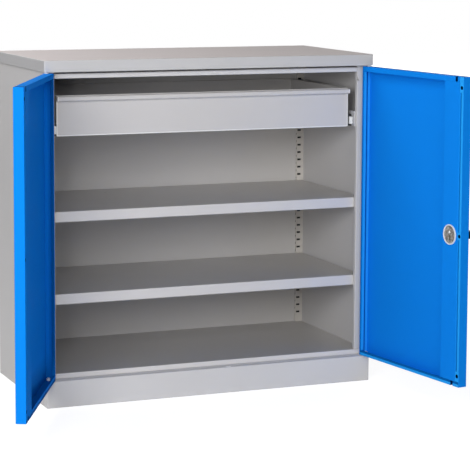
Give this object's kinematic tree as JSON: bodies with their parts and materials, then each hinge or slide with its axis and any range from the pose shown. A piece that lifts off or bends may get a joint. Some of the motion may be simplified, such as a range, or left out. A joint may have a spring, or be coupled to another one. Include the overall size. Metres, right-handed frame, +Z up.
{
  "type": "storage cabinet",
  "caption": "Low steel storage cabinet with two hinged blue doors, a drawer on telescopic runners, hung shelves and a rod lock with a turning handle.",
  "frame": {"origin": "on the floor, in the middle of the underside of the plinth", "axes": "+X to the right seen from the front, +Y to the back, +Z up"},
  "size_m": [1.3407, 1.0029, 1],
  "materials": {
    "cap_grey": "satin",
    "carcase_grey": "satin",
    "inside_grey": "satin",
    "rack_grey": "satin",
    "drawer_grey": "satin",
    "door_blue": "satin",
    "zinc_steel": "zinc plated",
    "black_steel": "satin",
    "ball_steel": "polished",
    "white_nylon": "matt",
    "handle_black": "fine grain",
    "lock_steel": "polished",
    "cover_grey": "fine grain"
  },
  "bodies": {
    "carcase": {"top_cap": "cap_grey", "left_side_panel": "carcase_grey", "right_side_panel": "carcase_grey", "back_panel": "inside_grey", "floor_panel": "inside_grey", "plinth": "carcase_grey", "header_rail": "carcase_grey", "left_front_post": "carcase_grey", "right_front_post": "carcase_grey", "front_left_rack": "rack_grey", "front_right_rack": "rack_grey", "rear_left_rack": "rack_grey", "rear_right_rack": "rack_grey", "upper_shelf": "inside_grey", "lower_shelf": "inside_grey", "upper_shelf_clips": "zinc_steel", "lower_shelf_clips": "zinc_steel", "left_slide_bracket": "zinc_steel", "right_slide_bracket": "zinc_steel", "left_slide_outer": "black_steel", "right_slide_outer": "black_steel", "hinge_pins": "zinc_steel"},
    "drawer": {"drawer_tray": "drawer_grey", "drawer_front": "drawer_grey", "left_slide_inner": "zinc_steel", "right_slide_inner": "zinc_steel"},
    "left_mid": {"left_slide_mid": "black_steel", "left_slide_balls": "ball_steel"},
    "right_mid": {"right_slide_mid": "black_steel", "right_slide_balls": "ball_steel"},
    "left_door": {"left_door_panel": "door_blue", "left_lock_channel": "door_blue", "left_hinge_bushes": "white_nylon"},
    "right_door": {"right_door_panel": "door_blue", "right_lock_channel": "door_blue", "right_hinge_bushes": "white_nylon", "lock_rosette": "lock_steel", "rod_guides": "white_nylon", "lock_cover": "cover_grey"},
    "handle": {"turning_handle": "handle_black", "lock_cam": "zinc_steel"},
    "key": {"key_plug": "lock_steel"},
    "upper_lock": {"upper_rod": "zinc_steel"},
    "lower_lock": {"lower_rod": "zinc_steel"}
  },
  "joints": [
    {"name": "left_door_hinge", "type": "hinge", "parent": "carcase", "child": "left_door", "pos_m": [-0.506, -0.00625, 0.5], "axis": [0, 0, -1], "range_deg": [-115.6, 4.4]},
    {"name": "right_door_hinge", "type": "hinge", "parent": "carcase", "child": "right_door", "pos_m": [0.506, -0.00625, 0.5], "axis": [0, 0, 1], "range_deg": [-97.5, 22.5]},
    {"name": "drawer_slide", "type": "slide", "parent": "carcase", "child": "drawer", "axis": [0, -1, 0], "range_m": [0, 0.38]},
    {"name": "left_mid_slide", "type": "slide", "parent": "carcase", "child": "left_mid", "axis": [0, -1, 0], "range_m": [0, 0.19]},
    {"name": "right_mid_slide", "type": "slide", "parent": "carcase", "child": "right_mid", "axis": [0, -1, 0], "range_m": [0, 0.19]},
    {"name": "handle_turn", "type": "hinge", "parent": "right_door", "child": "handle", "pos_m": [0.57381, -0.45234, 0.5125], "axis": [0.9914, 0.1305, 0], "range_deg": [-90, 0]},
    {"name": "key_turn", "type": "hinge", "parent": "handle", "child": "key", "pos_m": [0.57381, -0.45234, 0.5125], "axis": [0.9914, 0.1305, 0], "range_deg": [-90, 0]},
    {"name": "upper_rod_slide", "type": "slide", "parent": "right_door", "child": "upper_lock", "axis": [0, 0, 1], "range_m": [0, 0.02263]},
    {"name": "lower_rod_slide", "type": "slide", "parent": "right_door", "child": "lower_lock", "axis": [0, 0, -1], "range_m": [0, 0.02263]}
  ],
  "couplings": [
    {"joint": "left_mid_slide", "follows": "drawer_slide", "ratio": 0.5},
    {"joint": "right_mid_slide", "follows": "drawer_slide", "ratio": 0.5},
    {"joint": "upper_rod_slide", "follows": "handle_turn", "m_per_rad": -0.014405},
    {"joint": "lower_rod_slide", "follows": "handle_turn", "m_per_rad": -0.014405}
  ]
}
